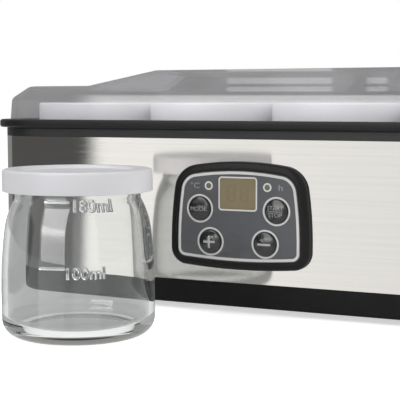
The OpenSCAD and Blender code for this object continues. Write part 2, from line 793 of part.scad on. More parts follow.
module glass_jar() {
    low = jar_h - finish_h;
    edge = finish_edge;
    outer = concat(
        [[0, push_up], [foot_ring_r - 3, push_up], [foot_ring_r - 1.5, 0]],
        jar_side(0, heel_r),
        [[neck_r - 0.2, low - 3], [finish_r - edge, low], [finish_r, low + edge], [finish_r, jar_h - edge],
            [finish_r - edge, jar_h], [jar_mouth_r + edge, jar_h], [jar_mouth_r, jar_h - edge],
            [jar_mouth_r, low - 2]]
    );
    inner_side = jar_side(jar_wall, jar_base + heel_r - jar_wall);
    n = len(inner_side);
    color("#cfd8d4", 0.4) rotate_extrude()
        polygon(concat(outer, [for (i = [n - 1:-1:0]) inner_side[i]], [[0, jar_base]]));
}

module jar_lid() {
    bottom = jar_h + lid_wall + 1.2 - lid_h;
    top = bottom + lid_h;
    edge = 1.4;
    dish_r = lid_r - 8.5;
    dish = 1.2;
    skirt_r = lid_r - lid_wall;
    plug_r = jar_mouth_r - 0.5;
    plug_t = 1.4;
    plug_z = jar_h - 2.5;
    color("#e9e8ee") rotate_extrude() polygon(concat(
        [[0, jar_h], [plug_r - plug_t, jar_h], [plug_r - plug_t, plug_z], [plug_r, plug_z],
            [plug_r, jar_h], [skirt_r, jar_h], [skirt_r, bottom], [lid_r - 0.4, bottom],
            [lid_r, bottom + 0.4]],
        arc(lid_r - edge, top - edge, edge, 0, 90),
        [[dish_r + 0.8, top], [dish_r, top - 0.4], [dish_r - 0.6, top - dish], [0, top - dish]]
    ));
}

module jar(i) translate(jar_spot(i)) in_machine() glass_jar();

module lid(i) translate(jar_spot(i)) in_machine() jar_lid();

// ---------- drawing ----------

base_pan();
rubber_feet();
base_screws();
steel_shell();
collar_ring();
inner_tub();
heating_plate();
heating_wire();
wire_straps();
temperature_sensor();
sensor_clip();
thermal_fuse();
power_board();
power_transformer();
power_relay();
power_capacitor();
terminal_block();
ribbon_cable();
cord_gland();
control_bezel();
panel_fascia();
display_lens();
display_module();
indicator_lens(-indicator_x);  // lens_temperature
indicator_lens(indicator_x);  // lens_time
indicator_leds();
control_board();
board_screws();
tact_switches();
button(0);  // button_mode
button(1);  // button_start
button(2);  // button_plus
button(3);  // button_minus
cover();
for (i = [1:12]) jar(i);
for (i = [1:12]) lid(i);
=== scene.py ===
import json
from math import asin, cos, degrees, pi, radians, sin, sqrt, tan

import bpy
import bmesh
from mathutils import Matrix, Vector


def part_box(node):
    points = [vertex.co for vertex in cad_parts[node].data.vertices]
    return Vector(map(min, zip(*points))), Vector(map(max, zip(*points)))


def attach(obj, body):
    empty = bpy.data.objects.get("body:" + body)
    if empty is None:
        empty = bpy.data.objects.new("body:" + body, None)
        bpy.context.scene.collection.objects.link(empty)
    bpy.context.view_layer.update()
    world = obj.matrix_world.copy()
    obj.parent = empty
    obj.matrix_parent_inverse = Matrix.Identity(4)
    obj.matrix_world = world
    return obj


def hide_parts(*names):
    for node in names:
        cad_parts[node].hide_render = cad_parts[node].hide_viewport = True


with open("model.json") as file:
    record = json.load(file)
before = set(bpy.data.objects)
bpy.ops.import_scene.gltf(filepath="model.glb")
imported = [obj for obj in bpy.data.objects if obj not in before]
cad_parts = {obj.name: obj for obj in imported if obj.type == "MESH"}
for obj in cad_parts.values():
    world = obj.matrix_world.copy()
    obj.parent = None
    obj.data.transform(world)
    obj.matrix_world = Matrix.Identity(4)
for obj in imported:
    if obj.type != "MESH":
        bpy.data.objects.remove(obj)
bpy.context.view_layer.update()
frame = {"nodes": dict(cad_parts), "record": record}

mm = 0.001
wallLow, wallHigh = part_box("steel_shell")
midY = (wallLow[1] + wallHigh[1]) / 2 / mm
bodySize = {"halfX": 158.5, "halfY": 121.5, "corner": 30.0}
frontY = midY - bodySize["halfY"]


# camera

view = {"spot": (222.8, midY - 656.9, 110.0), "swing": 24.69, "drop": 4.97, "lens": 100.8}


def makeCamera():
    swing, drop = radians(view["swing"]), radians(view["drop"])
    ahead = Vector((-sin(swing) * cos(drop), cos(swing) * cos(drop), -sin(drop)))
    data = bpy.data.cameras.new("camera")
    data.lens = view["lens"]
    data.sensor_width = 36
    data.clip_start = 0.01
    data.clip_end = 20
    camera = bpy.data.objects.new("camera", data)
    camera.location = Vector(view["spot"]) * mm
    camera.rotation_mode = "QUATERNION"
    camera.rotation_quaternion = ahead.to_track_quat("-Z", "Y")
    bpy.context.scene.collection.objects.link(camera)
    bpy.context.scene.camera = camera


makeCamera()
print("camera placed")


# shader maths

class Wire:
    def __init__(self, tree, socket=None):
        self.tree = tree
        self.socket = socket

    def node(self, kind, settings=None, values=None, out=0):
        made = self.tree.nodes.new(kind)
        for key, value in (settings or {}).items():
            setattr(made, key, value)
        for key, value in (values or {}).items():
            self.feed(made.inputs[key], value)
        return Wire(self.tree, made.outputs[out] if made.outputs else None)

    def other(self, name):
        return Wire(self.tree, self.socket.node.outputs[name])

    def feed(self, socket, value):
        if isinstance(value, Wire):
            self.tree.links.new(value.socket, socket)
        elif socket.type == "RGBA" and len(value) == 3:
            socket.default_value = (*value, 1)
        else:
            socket.default_value = value

    def rays(self, *names):
        path = self.node("ShaderNodeLightPath")
        return [path.other(name) for name in names]

    def maths(self, operation, a, b):
        return self.node("ShaderNodeMath", {"operation": operation}, {0: a, 1: b})

    def __add__(self, other):
        return self.maths("ADD", self, other)

    def __radd__(self, other):
        return self.maths("ADD", other, self)

    def __sub__(self, other):
        return self.maths("SUBTRACT", self, other)

    def __rsub__(self, other):
        return self.maths("SUBTRACT", other, self)

    def __mul__(self, other):
        return self.maths("MULTIPLY", self, other)

    def __rmul__(self, other):
        return self.maths("MULTIPLY", other, self)

    def step(self, low, high):
        settings = {"interpolation_type": "SMOOTHSTEP"}
        return self.node("ShaderNodeMapRange", settings, {"Value": self, "From Min": low, "From Max": high})

    def band(self, low, high, soft):
        return self.step(low - soft, low + soft) * (1 - self.step(high - soft, high + soft))

    def more(self, limit):
        return self.maths("GREATER_THAN", self, limit)

    def less(self, limit):
        return self.maths("LESS_THAN", self, limit)

    def once(self):
        return self.maths("MINIMUM", self, 1)

    def mixColour(self, factor, a, b):
        return self.node("ShaderNodeMix", {"data_type": "RGBA"}, {0: factor, 6: a, 7: b}, out=2)

    def mixShader(self, factor, a, b):
        return self.node("ShaderNodeMixShader", None, {0: factor, 1: a, 2: b})

    def place(self, scale=(1, 1, 1)):
        coords = self.node("ShaderNodeTexCoord", out=3)
        return self.node("ShaderNodeMapping", None, {"Vector": coords, "Scale": scale})

    def noise(self, coords, scale, detail=3.0, rough=0.5):
        values = {"Vector": coords, "Scale": scale, "Detail": detail, "Roughness": rough}
        return self.node("ShaderNodeTexNoise", None, values)

    def bump(self, height, strength, distance):
        return self.node("ShaderNodeBump", None, {"Height": height, "Strength": strength, "Distance": distance})


def newTree(name):
    material = bpy.data.materials.new(name)
    material.use_nodes = True
    material.node_tree.nodes.clear()
    return material, Wire(material.node_tree)


def finishTree(wires, surface):
    wires.node("ShaderNodeOutputMaterial", None, {"Surface": surface})


def principled(wires, values):
    return wires.node("ShaderNodeBsdfPrincipled", None, values)


# materials

usual = {"cloudScale": 60, "grainScale": 3000, "roughSpread": 0.08, "depth": 0.15, "relief": 0.0002, "spec": 0.5,
    "darker": 0.9}
usualMetal = {"fineShare": 0.6, "cloudScale": 25, "cloudRough": 0.03, "relief": 0.0001}
patches = (0.3, 0.7)  # the noise levels between which one colour turns into the other
oneMirror = 1.5  # a ray that has met more mirrors than this no longer sees the room


def plastic(name, ownLook):
    look = {**usual, **ownLook}
    material, w = newTree(name)
    coords = w.place()
    cloud = w.noise(coords, look["cloudScale"], 4)
    grain = w.noise(coords, look["grainScale"], 2)
    shade = look.get("shade", tuple(look["darker"] * c for c in look["colour"]))
    values = {
        "Base Color": w.mixColour(cloud.step(*patches), look["colour"], shade),
        "Roughness": look["rough"] + (cloud - 0.5) * look["roughSpread"] + (grain - 0.5) * look["roughSpread"],
        "IOR": 1.5,
        "Specular IOR Level": look["spec"],
        "Normal": w.bump(grain, look["depth"], look["relief"]),
    }
    finishTree(w, principled(w, values))
    return material


def brushed(name, ownLook):
    look = {**usualMetal, **ownLook}
    material, w = newTree(name)
    fine = w.noise(w.place(look["fine"]), 1.0, 4, 0.6)
    broad = w.noise(w.place(look["broad"]), 1.0, 3, 0.5)
    cloud = w.noise(w.place(), look["cloudScale"], 3)
    streak = fine * look["fineShare"] + broad * (1 - look["fineShare"])
    values = {
        "Base Color": w.mixColour(streak.step(*patches), look["dark"], look["light"]),
        "Roughness": look["rough"] + (streak - 0.5) * look["roughSpread"] + (cloud - 0.5) * look["cloudRough"],
        "Metallic": 1.0,
        "Normal": w.bump(fine, look["depth"], look["relief"]),
    }
    if "stretch" in look:
        values["Anisotropic"] = look["stretch"]
        values["Anisotropic Rotation"] = 0.25
    finishTree(w, principled(w, values))
    return material


def clear(name, look):
    material, w = newTree(name)
    coords = w.place()
    facing = w.node("ShaderNodeLayerWeight", None, {"Blend": look["facing"]}, out=1)
    cloud = w.noise(coords, look["waveScale"], 2)
    colour = w.mixColour(facing.step(*look["edgeFrom"]), look["colour"], look["edge"])
    values = {
        "Base Color": colour,
        "Roughness": look["rough"] + (w.noise(coords, look["fineScale"], 3) - 0.5) * look["rough"],
        "IOR": look["ior"],
        "Specular IOR Level": look["gloss"],
        "Transmission Weight": 1.0,
        "Normal": w.bump(cloud, look["wave"], look["relief"]),
    }
    openAir = w.node("ShaderNodeBsdfTransparent", None, {"Color": look["shadow"]})
    shaded, bounces = w.rays("Is Shadow Ray", "Glossy Depth")
    escape = w.maths("MAXIMUM", shaded, bounces.more(oneMirror))
    finishTree(w, w.mixShader(escape, principled(w, values), openAir))
    return material


def sheet(name, look):
    material, w = newTree(name)
    coords = w.place()
    facing = w.node("ShaderNodeLayerWeight", None, {"Blend": look["facing"]}, out=1)
    haze = w.noise(coords, look["hazeScale"], 4)
    values = {
        "Base Color": w.mixColour(haze.step(*patches), look["colour"], look["shade"]),
        "Metallic": look["metal"],
        "Specular IOR Level": look["spec"],
        "Roughness": look["rough"] + (haze - 0.5) * look["rough"],
        "Normal": w.bump(w.noise(coords, look["waveScale"], 2), look["wave"], look["relief"]),
    }
    openAir = w.node("ShaderNodeBsdfTransparent", None, {"Color": look["through"]})
    shaded, = w.rays("Is Shadow Ray")
    rim = w.maths("POWER", facing, look["rimPower"]) * look["rim"]
    film = (look["film"] + rim) * (1 - shaded * look["unshaded"])
    finishTree(w, w.mixShader(film, openAir, principled(w, values)))
    return material


plastics = {
    "black_plastic": {"colour": (0.016, 0.016, 0.017), "rough": 0.42, "grainScale": 2600, "depth": 0.25, "spec": 0.45},
    "pan_black": {"colour": (0.013, 0.013, 0.0132), "rough": 0.55, "grainScale": 2600, "depth": 0.3, "spec": 0.09},
    "tub_plastic": {"colour": (0.016, 0.016, 0.0162), "rough": 0.4, "grainScale": 2600, "depth": 0.25, "spec": 0.2},
    "rubber": {"colour": (0.02, 0.02, 0.02), "rough": 0.75, "depth": 0.3},
    "wire_sleeve": {"colour": (0.5, 0.13, 0.06), "rough": 0.5},
    "sensor_epoxy": {"colour": (0.02, 0.02, 0.03), "rough": 0.3},
    "tape_yellow": {"colour": (0.75, 0.5, 0.05), "rough": 0.35},
    "relay_blue": {"colour": (0.03, 0.08, 0.2), "rough": 0.3},
    "capacitor_sleeve": {"colour": (0.02, 0.025, 0.04), "rough": 0.25},
    "terminal_plastic": {"colour": (0.7, 0.68, 0.6), "rough": 0.45},
    "ribbon_grey": {"colour": (0.35, 0.36, 0.38), "rough": 0.5},
    "module_plastic": {"colour": (0.05, 0.05, 0.04), "rough": 0.4},
    "led_resin": {"colour": (0.8, 0.78, 0.68), "rough": 0.12},
    "switch_plastic": {"colour": (0.08, 0.08, 0.085), "rough": 0.45},
    "circuit_board": {"colour": (0.02, 0.16, 0.06), "shade": (0.015, 0.12, 0.045), "rough": 0.3, "cloudScale": 300},
    "gloss_black": {"colour": (0.0155, 0.0155, 0.0155), "rough": 0.3, "roughSpread": 0.05, "depth": 0.02, "spec": 0.13},
    "button_black": {"colour": (0.008, 0.008, 0.009), "rough": 0.2, "roughSpread": 0.03, "depth": 0.02, "spec": 0.85},
    "fascia_grey": {"colour": (0.088, 0.092, 0.1), "rough": 0.3, "grainScale": 5000, "depth": 0.1},
    "indicator_tint": {"colour": (0.16, 0.17, 0.07), "rough": 0.12, "depth": 0.02},
    "display_tint": {"colour": (0.26, 0.205, 0.115), "shade": (0.235, 0.185, 0.1), "rough": 0.14, "depth": 0.02,
        "cloudScale": 90},
    "lid_plastic": {"colour": (0.8, 0.795, 0.825), "shade": (0.785, 0.78, 0.81), "rough": 0.3, "grainScale": 2200,
        "depth": 0.06},
    "print_white": {"colour": (0.78, 0.77, 0.745), "rough": 0.45, "grainScale": 6000},
    "print_pale": {"colour": (0.52, 0.52, 0.53), "rough": 0.45, "grainScale": 6000},
    "print_grey": {"colour": (0.36, 0.36, 0.37), "rough": 0.45, "grainScale": 6000},
    "digit_ghost": {"colour": (0.235, 0.19, 0.1), "rough": 0.2, "grainScale": 6000},
}
metals = {
    "screw_steel": {"fine": (600, 600, 600), "broad": (90, 90, 90), "dark": (0.5, 0.5, 0.51),
        "light": (0.66, 0.66, 0.67), "rough": 0.3, "roughSpread": 0.12, "depth": 0.1},
    "aluminium": {"fine": (60, 3000, 3000), "broad": (20, 300, 300), "dark": (0.66, 0.67, 0.68),
        "light": (0.8, 0.81, 0.82), "rough": 0.32, "roughSpread": 0.12, "depth": 0.1},
    "brushed_steel": {"fine": (14, 14, 3600), "broad": (4, 4, 700), "dark": (0.585, 0.57, 0.54),
        "light": (0.625, 0.61, 0.58), "rough": 0.05, "roughSpread": 0.015, "depth": 0.03, "stretch": 1.0},
}
jarGlass = {"colour": (0.975, 0.985, 0.985), "edge": (0.93, 0.955, 0.95), "rough": 0.012, "ior": 1.5, "gloss": 0.95,
    "facing": 0.35, "edgeFrom": (0.25, 0.95), "fineScale": 400, "waveScale": 25, "wave": 0.1, "relief": 0.001,
    "shadow": (0.93, 0.945, 0.94)}
coverClear = {"colour": (0.42, 0.42, 0.43), "shade": (0.39, 0.39, 0.4), "metal": 0.25, "spec": 1.0, "rough": 0.06,
    "hazeScale": 140, "waveScale": 14, "wave": 0.015, "relief": 0.001, "film": 0.125, "facing": 0.5, "rimPower": 5,
    "rim": 0.22, "unshaded": 0.8, "through": (0.985, 0.985, 0.988)}

paints = {name: plastic(name, look) for name, look in plastics.items()}
paints.update({name: brushed(name, look) for name, look in metals.items()})
paints["jar_glass"] = clear("jar_glass", jarGlass)
paints["cover_clear"] = sheet("cover_clear", coverClear)

slotOf = {part["node"]: part["material_slot"] for part in frame["record"]["subparts"]}
for node, piece in frame["nodes"].items():
    for place in piece.material_slots:
        place.material = paints["pan_black" if node == "base_pan" else slotOf[node]]
print("materials made")


# mesh helpers

def arc(x, y, r, start, end, steps=8, skip=0):
    turns = [radians(start + (end - start) * i / steps) for i in range(skip, steps + 1)]
    return [(x + r * cos(t), y + r * sin(t)) for t in turns]


def spin(points, steps=96):
    bm = bmesh.new()
    verts = [bm.verts.new((x * mm, 0, z * mm)) for x, z in points]
    edges = [bm.edges.new(pair) for pair in zip(verts, verts[1:])]
    bmesh.ops.spin(bm, geom=verts + edges, cent=(0, 0, 0), axis=(0, 0, 1), angle=2 * pi, steps=steps, use_merge=True)
    bmesh.ops.remove_doubles(bm, verts=bm.verts, dist=1e-6)
    bmesh.ops.recalc_face_normals(bm, faces=bm.faces)
    return bm


def ringEdges(bm, ring):
    return [bm.edges.get(pair) for pair in zip(ring, ring[1:] + ring[:1])]


def loft(bm, rings, capFirst=True, capLast=True):
    first = bmesh.ops.create_circle(bm, segments=len(rings[0]), radius=1)["verts"]
    ring = first
    for vert, spot in zip(ring, rings[0]):
        vert.co = Vector(spot) * mm
    for spots in rings[1:]:
        made = bmesh.ops.extrude_edge_only(bm, edges=ringEdges(bm, ring))["geom"]
        fresh = {part for part in made if isinstance(part, bmesh.types.BMVert)}
        ring = [next(e.other_vert(v) for e in v.link_edges if e.other_vert(v) in fresh) for v in ring]
        for vert, spot in zip(ring, spots):
            vert.co = Vector(spot) * mm
    if capFirst:
        bmesh.ops.contextual_create(bm, geom=ringEdges(bm, first))
    if capLast:
        bmesh.ops.contextual_create(bm, geom=ringEdges(bm, ring))
    return first, ring


def circleSpots(x, y, r, steps=48):
    return [(x + r * cos(2 * pi * i / steps), y + r * sin(2 * pi * i / steps)) for i in range(steps)]


def flatSheet(loops, low, high, place=None):
    place = place or onPanel
    bm = bmesh.new()
    for spots in loops:
        ring = bmesh.ops.create_circle(bm, segments=len(spots), radius=1)["verts"]
        for vert, (x, y) in zip(ring, spots):
            vert.co = Vector(place(x, y, low)) * mm
    bmesh.ops.triangle_fill(bm, use_beauty=True, use_dissolve=False, edges=bm.edges)
    parts = bm.faces[:] + bm.edges[:] + bm.verts[:]
    made = bmesh.ops.extrude_face_region(bm, geom=parts, use_keep_orig=True)["geom"]
    rise = Vector(place(0, 0, high)) - Vector(place(0, 0, low))
    bmesh.ops.translate(bm, verts=[v for v in made if isinstance(v, bmesh.types.BMVert)], vec=rise * mm)
    return bm


corners = ((1, 1), (-1, 1), (-1, -1), (1, -1))


# a rounded rectangle with one more point on each straight side, just past each corner
def rectRing(halfX, halfY, corner, z, steps=14, support=1.5):
    spots = []
    for quarter, (sideX, sideY) in enumerate(corners):
        start, end = radians(90 * quarter), radians(90 * quarter + 90)
        rim = arc(sideX * (halfX - corner), sideY * (halfY - corner), corner, 90 * quarter, 90 * quarter + 90, steps)
        spots.append((rim[0][0] + support * sin(start), rim[0][1] - support * cos(start)))
        spots += rim
        spots.append((rim[-1][0] - support * sin(end), rim[-1][1] + support * cos(end)))
    return [(x, y + midY, z) for x, y in spots]


def bodyRing(out, z):
    return rectRing(bodySize["halfX"] + out, bodySize["halfY"] + out, bodySize["corner"] + out, z)


def makePiece(name, bm, paint, body, nodes=(), sharp=38):
    bmesh.ops.recalc_face_normals(bm, faces=bm.faces)
    mesh = bpy.data.meshes.new(name)
    bm.to_mesh(mesh)
    bm.free()
    mesh.shade_smooth()
    mesh.set_sharp_from_angle(angle=radians(sharp))
    piece = bpy.data.objects.new(name, mesh)
    bpy.context.scene.collection.objects.link(piece)
    mesh.materials.append(paints[paint])
    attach(piece, body)
    if nodes:
        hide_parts(*nodes)
    return piece


# steel wall

steel = {"low": 15.8, "high": 91.2, "thick": 0.6, "round": 0.15, "support": 2}
bm = bmesh.new()
inside, r = -steel["thick"], steel["round"]
low, high = steel["low"], steel["high"]
outline = [(inside, low), (-r, low), (0, low + r), (0, low + steel["support"])]
outline += [(0, high - steel["support"]), (0, high - r), (-r, high), (inside, high)]
first, last = loft(bm, [bodyRing(out, z) for out, z in outline], False, False)
bmesh.ops.bridge_loops(bm, edges=ringEdges(bm, first) + ringEdges(bm, last))
makePiece("steelWall", bm, "brushed_steel", "machine", nodes=("steel_shell",))

# tub with its flange

tub = {"flangeLow": 96.0, "flangeHigh": 100.5, "out": 4.1, "grooveZ": 99.7, "grooveIn": -4.5, "grooveOut": -1.7,
    "wallOut": -7.4, "wallIn": -9.2, "bottom": 29.0, "floor": 30.98, "floorIn": 3.0, "bendIn": 0.8,
    "bendUp": 0.1, "floorRise": 1.0, "innerEdge": 1.2, "topEdge": 1.5, "underEdge": 1.3, "support": 3.0,
    "underSupport": 1.0}
bm = bmesh.new()
wallIn, wallOut = tub["wallIn"], tub["wallOut"]
low, high = tub["flangeLow"], tub["flangeHigh"]
outline = [(wallIn - tub["floorIn"], tub["floor"]), (wallIn - tub["bendIn"], tub["floor"] + tub["bendUp"])]
outline += [(wallIn, tub["floor"] + tub["floorRise"]), (wallIn, high - tub["support"])]
outline += arc(wallIn + tub["innerEdge"], high - tub["innerEdge"], tub["innerEdge"], 180, 90, 5)
outline += [(tub["grooveIn"], high), (tub["grooveIn"], tub["grooveZ"])]
outline += [(tub["grooveOut"], tub["grooveZ"]), (tub["grooveOut"], high), (0, high)]
outline += arc(tub["out"] - tub["topEdge"], high - tub["topEdge"], tub["topEdge"], 90, 0, 6)
outline += arc(tub["out"] - tub["underEdge"], low + tub["underEdge"], tub["underEdge"], 0, -90, 6)
outline += [(wallOut + tub["underSupport"], low), (wallOut, low), (wallOut, tub["bottom"])]
loft(bm, [bodyRing(out, z) for out, z in outline])
makePiece("tubBody", bm, "tub_plastic", "machine", nodes=("inner_tub",), sharp=30)

seats = {"pitch": 74.0, "columns": 4, "rows": 3, "r": 33.6, "low": 30.6, "high": 32.2, "gap": 0.5}
places = [((column - 1.5) * seats["pitch"], (row - 1) * seats["pitch"] + midY)
    for row in range(seats["rows"]) for column in range(seats["columns"])]
rim = [(x, y) for x, y, z in bodyRing(wallIn - seats["gap"], 0)]
rings = [circleSpots(x, y, seats["r"], 64) for x, y in places]
bm = flatSheet([rim] + rings, seats["low"], seats["high"], lambda x, y, z: (x, y, z))
makePiece("tubSeats", bm, "tub_plastic", "machine", sharp=30)

# jars

jar = {"r": 36.4, "footR": 27.6, "heel": 8.8, "bodyZ": 22.0, "shoulderZ": 50.0, "neckZ": 65.0, "sideR": 231.0,
    "shoulderR": 41.0, "finishR": 33.6, "high": 76.2, "finishHigh": 5.0, "mouth": 27.0, "wall": 2.6, "base": 5.0,
    "pushUp": 1.2, "pushUpIn": 4.0, "pushUpEdge": 0.8, "footIn": 2.0, "footEdge": 0.6, "beadLow": 0.8, "beadTop": 1.2,
    "neckGap": 2.5, "mouthGap": 1.0, "draft": 0.15}
lean = degrees(asin((jar["shoulderZ"] - jar["bodyZ"]) / jar["sideR"]))
shoulderX = jar["r"] - jar["sideR"] + (jar["sideR"] - jar["shoulderR"]) * cos(radians(lean))
shoulderMid = jar["shoulderZ"] - jar["shoulderR"] * sin(radians(lean))
neckTurn = degrees(asin((jar["neckZ"] - shoulderMid) / jar["shoulderR"]))
neckR = shoulderX + jar["shoulderR"] * cos(radians(neckTurn))


def jarSide(inset, heel):
    side = arc(jar["footR"], heel, jar["heel"] - inset, -90, 0, 12)
    side += arc(jar["r"] - jar["sideR"], jar["bodyZ"], jar["sideR"] - inset, 0, lean, 6)
    return side + arc(shoulderX, shoulderMid, jar["shoulderR"] - inset, lean, neckTurn, 10, skip=1)


finishLow = jar["high"] - jar["finishHigh"]
neckTop = finishLow - jar["neckGap"]


def jarRadius(z):
    if z > jar["neckZ"]:
        return neckR - jar["draft"] * (z - jar["neckZ"]) / (neckTop - jar["neckZ"])
    if z > jar["shoulderZ"]:
        return shoulderX + sqrt(jar["shoulderR"] ** 2 - (z - shoulderMid) ** 2)
    return jar["r"] - jar["sideR"] + sqrt(jar["sideR"] ** 2 - max(z - jar["bodyZ"], 0) ** 2)


def jarMesh():
    ring, foot, bead, top = jar["pushUpEdge"], jar["footEdge"], jar["beadLow"], jar["beadTop"]
    outer = [(0, jar["pushUp"])] + arc(jar["footR"] - jar["pushUpIn"], jar["pushUp"] - ring, ring, 90, 45, 3)
    outer += arc(jar["footR"] - jar["footIn"], foot, foot, -135, -90, 3)
    outer += jarSide(0, jar["heel"])
    outer += [(neckR - jar["draft"], neckTop)] + arc(jar["finishR"] - bead, finishLow + bead, bead, -80, 0, 4)
    outer += arc(jar["finishR"] - top, jar["high"] - top, top, 0, 90, 5)
    outer += arc(jar["mouth"] + top, jar["high"] - top, top, 90, 180, 5) 
    outer.append((jar["mouth"], finishLow - jar["mouthGap"]))
    inner = [(0, jar["base"])] + jarSide(jar["wall"], jar["base"] + jar["heel"] - jar["wall"])
    return spin(outer + inner[::-1])


lid = {"r": 35.5, "low": 68.6, "high": 79.0, "wall": 1.6, "skirtEdge": 0.4, "edge": 1.4, "dishR": 27.0, "dishIn": 1.0,
    "dish": 1.2, "dishEdge": 0.6, "plug": 1.4, "plugHigh": 2.5, "plugGap": 0.5}


def lidMesh():
    under, plugLow = jar["high"], jar["high"] - lid["plugHigh"]
    plugR = jar["mouth"] - lid["plugGap"]
    plugIn, skirtIn = plugR - lid["plug"], lid["r"] - lid["wall"]
    skirt, edge, step = lid["skirtEdge"], lid["edge"], lid["dishEdge"]
    dishZ = lid["high"] - lid["dish"]
    points = [(0, under), (plugIn, under), (plugIn, plugLow), (plugR, plugLow), (plugR, under)]
    points += [(skirtIn, under), (skirtIn, lid["low"])]
    points += arc(lid["r"] - skirt, lid["low"] + skirt, skirt, -90, 0, 3)
    points += arc(lid["r"] - edge, lid["high"] - edge, edge, 0, 90, 7)
    points += arc(lid["dishR"] + lid["dishIn"], lid["high"] - step, step, 90, 170, 4)
    points += arc(lid["dishR"] - step, dishZ + step, step, -10, -90, 4)
    return spin(points + [(0, dishZ)])


def textMesh(words, size, deep, bevel=0.0):
    curve = bpy.data.curves.new("words", "FONT")
    curve.body = words
    curve.size = size * mm
    curve.extrude = deep * mm / 2
    curve.bevel_depth = bevel * mm
    curve.bevel_resolution = 2
    curve.resolution_u = 6
    curve.align_x = curve.align_y = "CENTER"
    holder = bpy.data.objects.new("words", curve)
    bpy.context.scene.collection.objects.link(holder)
    bpy.context.view_layer.update()
    mesh = bpy.data.meshes.new_from_object(holder.evaluated_get(bpy.context.evaluated_depsgraph_get()))
    bpy.data.objects.remove(holder)
    bm = bmesh.new()
    bm.from_mesh(mesh)
    bpy.data.meshes.remove(mesh)
    bmesh.ops.remove_doubles(bm, verts=bm.verts, dist=1e-7)
    return bm


def stretchTo(bm, wide, high):
    low = [min(v.co[i] for v in bm.verts) for i in range(2)]
    top = [max(v.co[i] for v in bm.verts) for i in range(2)]
    for vert in bm.verts:
        vert.co.x = (vert.co.x - (low[0] + top[0]) / 2) * wide * mm / (top[0] - low[0])
        vert.co.y = (vert.co.y - (low[1] + top[1]) / 2) * high * mm / (top[1] - low[1])


def joinInto(bm, other):
    mesh = bpy.data.meshes.new("part")
    other.to_mesh(mesh)
    other.free()
    bm.from_mesh(mesh)
    bpy.data.meshes.remove(mesh)


# each mark's words, turn and spread in degrees, and its middle's height and its own height
marks = [("180ml", 43.5, 33.5, 63.7, 5.9), ("100ml", 36.1, 28.0, 34.1, 5.6), ("-", 11.8, 23.5, 65.2, 1.3),
    ("-", 11.4, 20.0, 36.2, 1.4)]
relief = {"bar": 1.3, "barEdge": 0.35, "letters": 0.8, "lettersEdge": 0.3, "out": 0.02}


def barMesh(wide, high):
    part = bmesh.new()
    bmesh.ops.create_cube(part, size=1)
    bmesh.ops.scale(part, vec=(1, 1, relief["bar"] * mm), verts=part.verts)
    stretchTo(part, wide, high)
    edge = relief["barEdge"] * mm
    bmesh.ops.bevel(part, geom=part.edges, offset=edge, segments=3, affect="EDGES", profile=0.5, material=-1)
    long = [e for e in part.edges if abs((e.verts[0].co - e.verts[1].co).x) > 4 * mm]
    bmesh.ops.subdivide_edges(part, edges=long, cuts=12)
    return part


def marksMesh():
    bm = bmesh.new()
    for words, turn, spread, height, high in marks:
        wide = radians(spread) * jarRadius(height)
        if words == "-":
            part = barMesh(wide, high)
        else:
            part = textMesh(words, 8, relief["letters"], relief["lettersEdge"])
            stretchTo(part, wide, high)
        for vert in part.verts:
            z = height + vert.co.y / mm
            angle = radians(turn) + vert.co.x / mm / jarRadius(height)
            out = jarRadius(z) + vert.co.z / mm + relief["out"]
            vert.co = Vector((out * sin(angle), -out * cos(angle), z)) * mm
        joinInto(bm, part)
    return bm


setOut = {"seatZ": 31.0, "emptyPlace": 8, "frontX": -51.1, "frontGap": 78.3}
jarSpots = [(x, y, setOut["seatZ"]) for i, (x, y) in enumerate(places) if i != setOut["emptyPlace"]]
jarSpots.append((setOut["frontX"], frontY - setOut["frontGap"], 0.0))
for number, spot in enumerate(jarSpots, 1):
    inFront = number == len(jarSpots)
    jarBody = "front_jar" if inFront else f"filled_place_{number}"
    lidBody = "front_jar_lid" if inFront else jarBody
    shift = Vector(spot) * mm
    bm = jarMesh()
    joinInto(bm, marksMesh())
    bmesh.ops.translate(bm, verts=bm.verts, vec=shift)
    makePiece(f"glassJar{number}", bm, "jar_glass", jarBody, nodes=(f"jar_{number}",), sharp=50)
    bm = lidMesh()
    bmesh.ops.translate(bm, verts=bm.verts, vec=shift)
    makePiece(f"jarLid{number}", bm, "lid_plastic", lidBody, nodes=(f"jar_lid_{number}",), sharp=40)
print("jars and lids made")

# clear cover

shell = {"thick": 2.2, "inset": 2.0, "foot": 99.7, "draft": 0.85, "bend": 4.0, "bendDrop": 9.2, "brow": 7.0,
    "turn": 56.0, "border": 119.4, "rise": 9.6, "topX": 78.5, "topY": 63.9, "topR": 2.4, "run": 31.0, "topSupport": 6}
slopeSteps = ((1.0, 0.0), (0.965, 0.012), (0.93, 0.055), (0.07, 0.945), (0.035, 0.988), (0.0, 1.0))
shoulder = radians(shell["turn"])
bendX = -shell["inset"] - shell["draft"] - shell["bend"]
bendZ = shell["border"] - shell["bendDrop"]
browZ = shell["border"] - shell["brow"]
# the shoulder's straight stretch touches both arcs, which sets where the upper one stands
wider = shell["brow"] - shell["bend"]
browX = bendX - wider * cos(shoulder) - (browZ - bendZ + wider * sin(shoulder)) * tan(shoulder)


def coverRings(inset):
    rings = [bodyRing(-shell["inset"] - inset, shell["foot"])]
    rings += [bodyRing(x, z) for x, z in arc(bendX, bendZ, shell["bend"] - inset, 4, shell["turn"], 6)]
    rings += [bodyRing(x, z) for x, z in arc(browX, browZ, shell["brow"] - inset, shell["turn"], 90, 6, skip=1)]
    border = shell["border"] - inset
    for reach, up in slopeSteps:
        grow = shell["run"] * reach
        z = border + shell["rise"] * up
        rings.append(rectRing(shell["topX"] + grow, shell["topY"] + grow, shell["topR"], z))
    halfX, halfY = shell["topX"] - shell["topSupport"], shell["topY"] - shell["topSupport"]
    rings.append(rectRing(halfX, halfY, shell["topR"], border + shell["rise"]))
    return rings


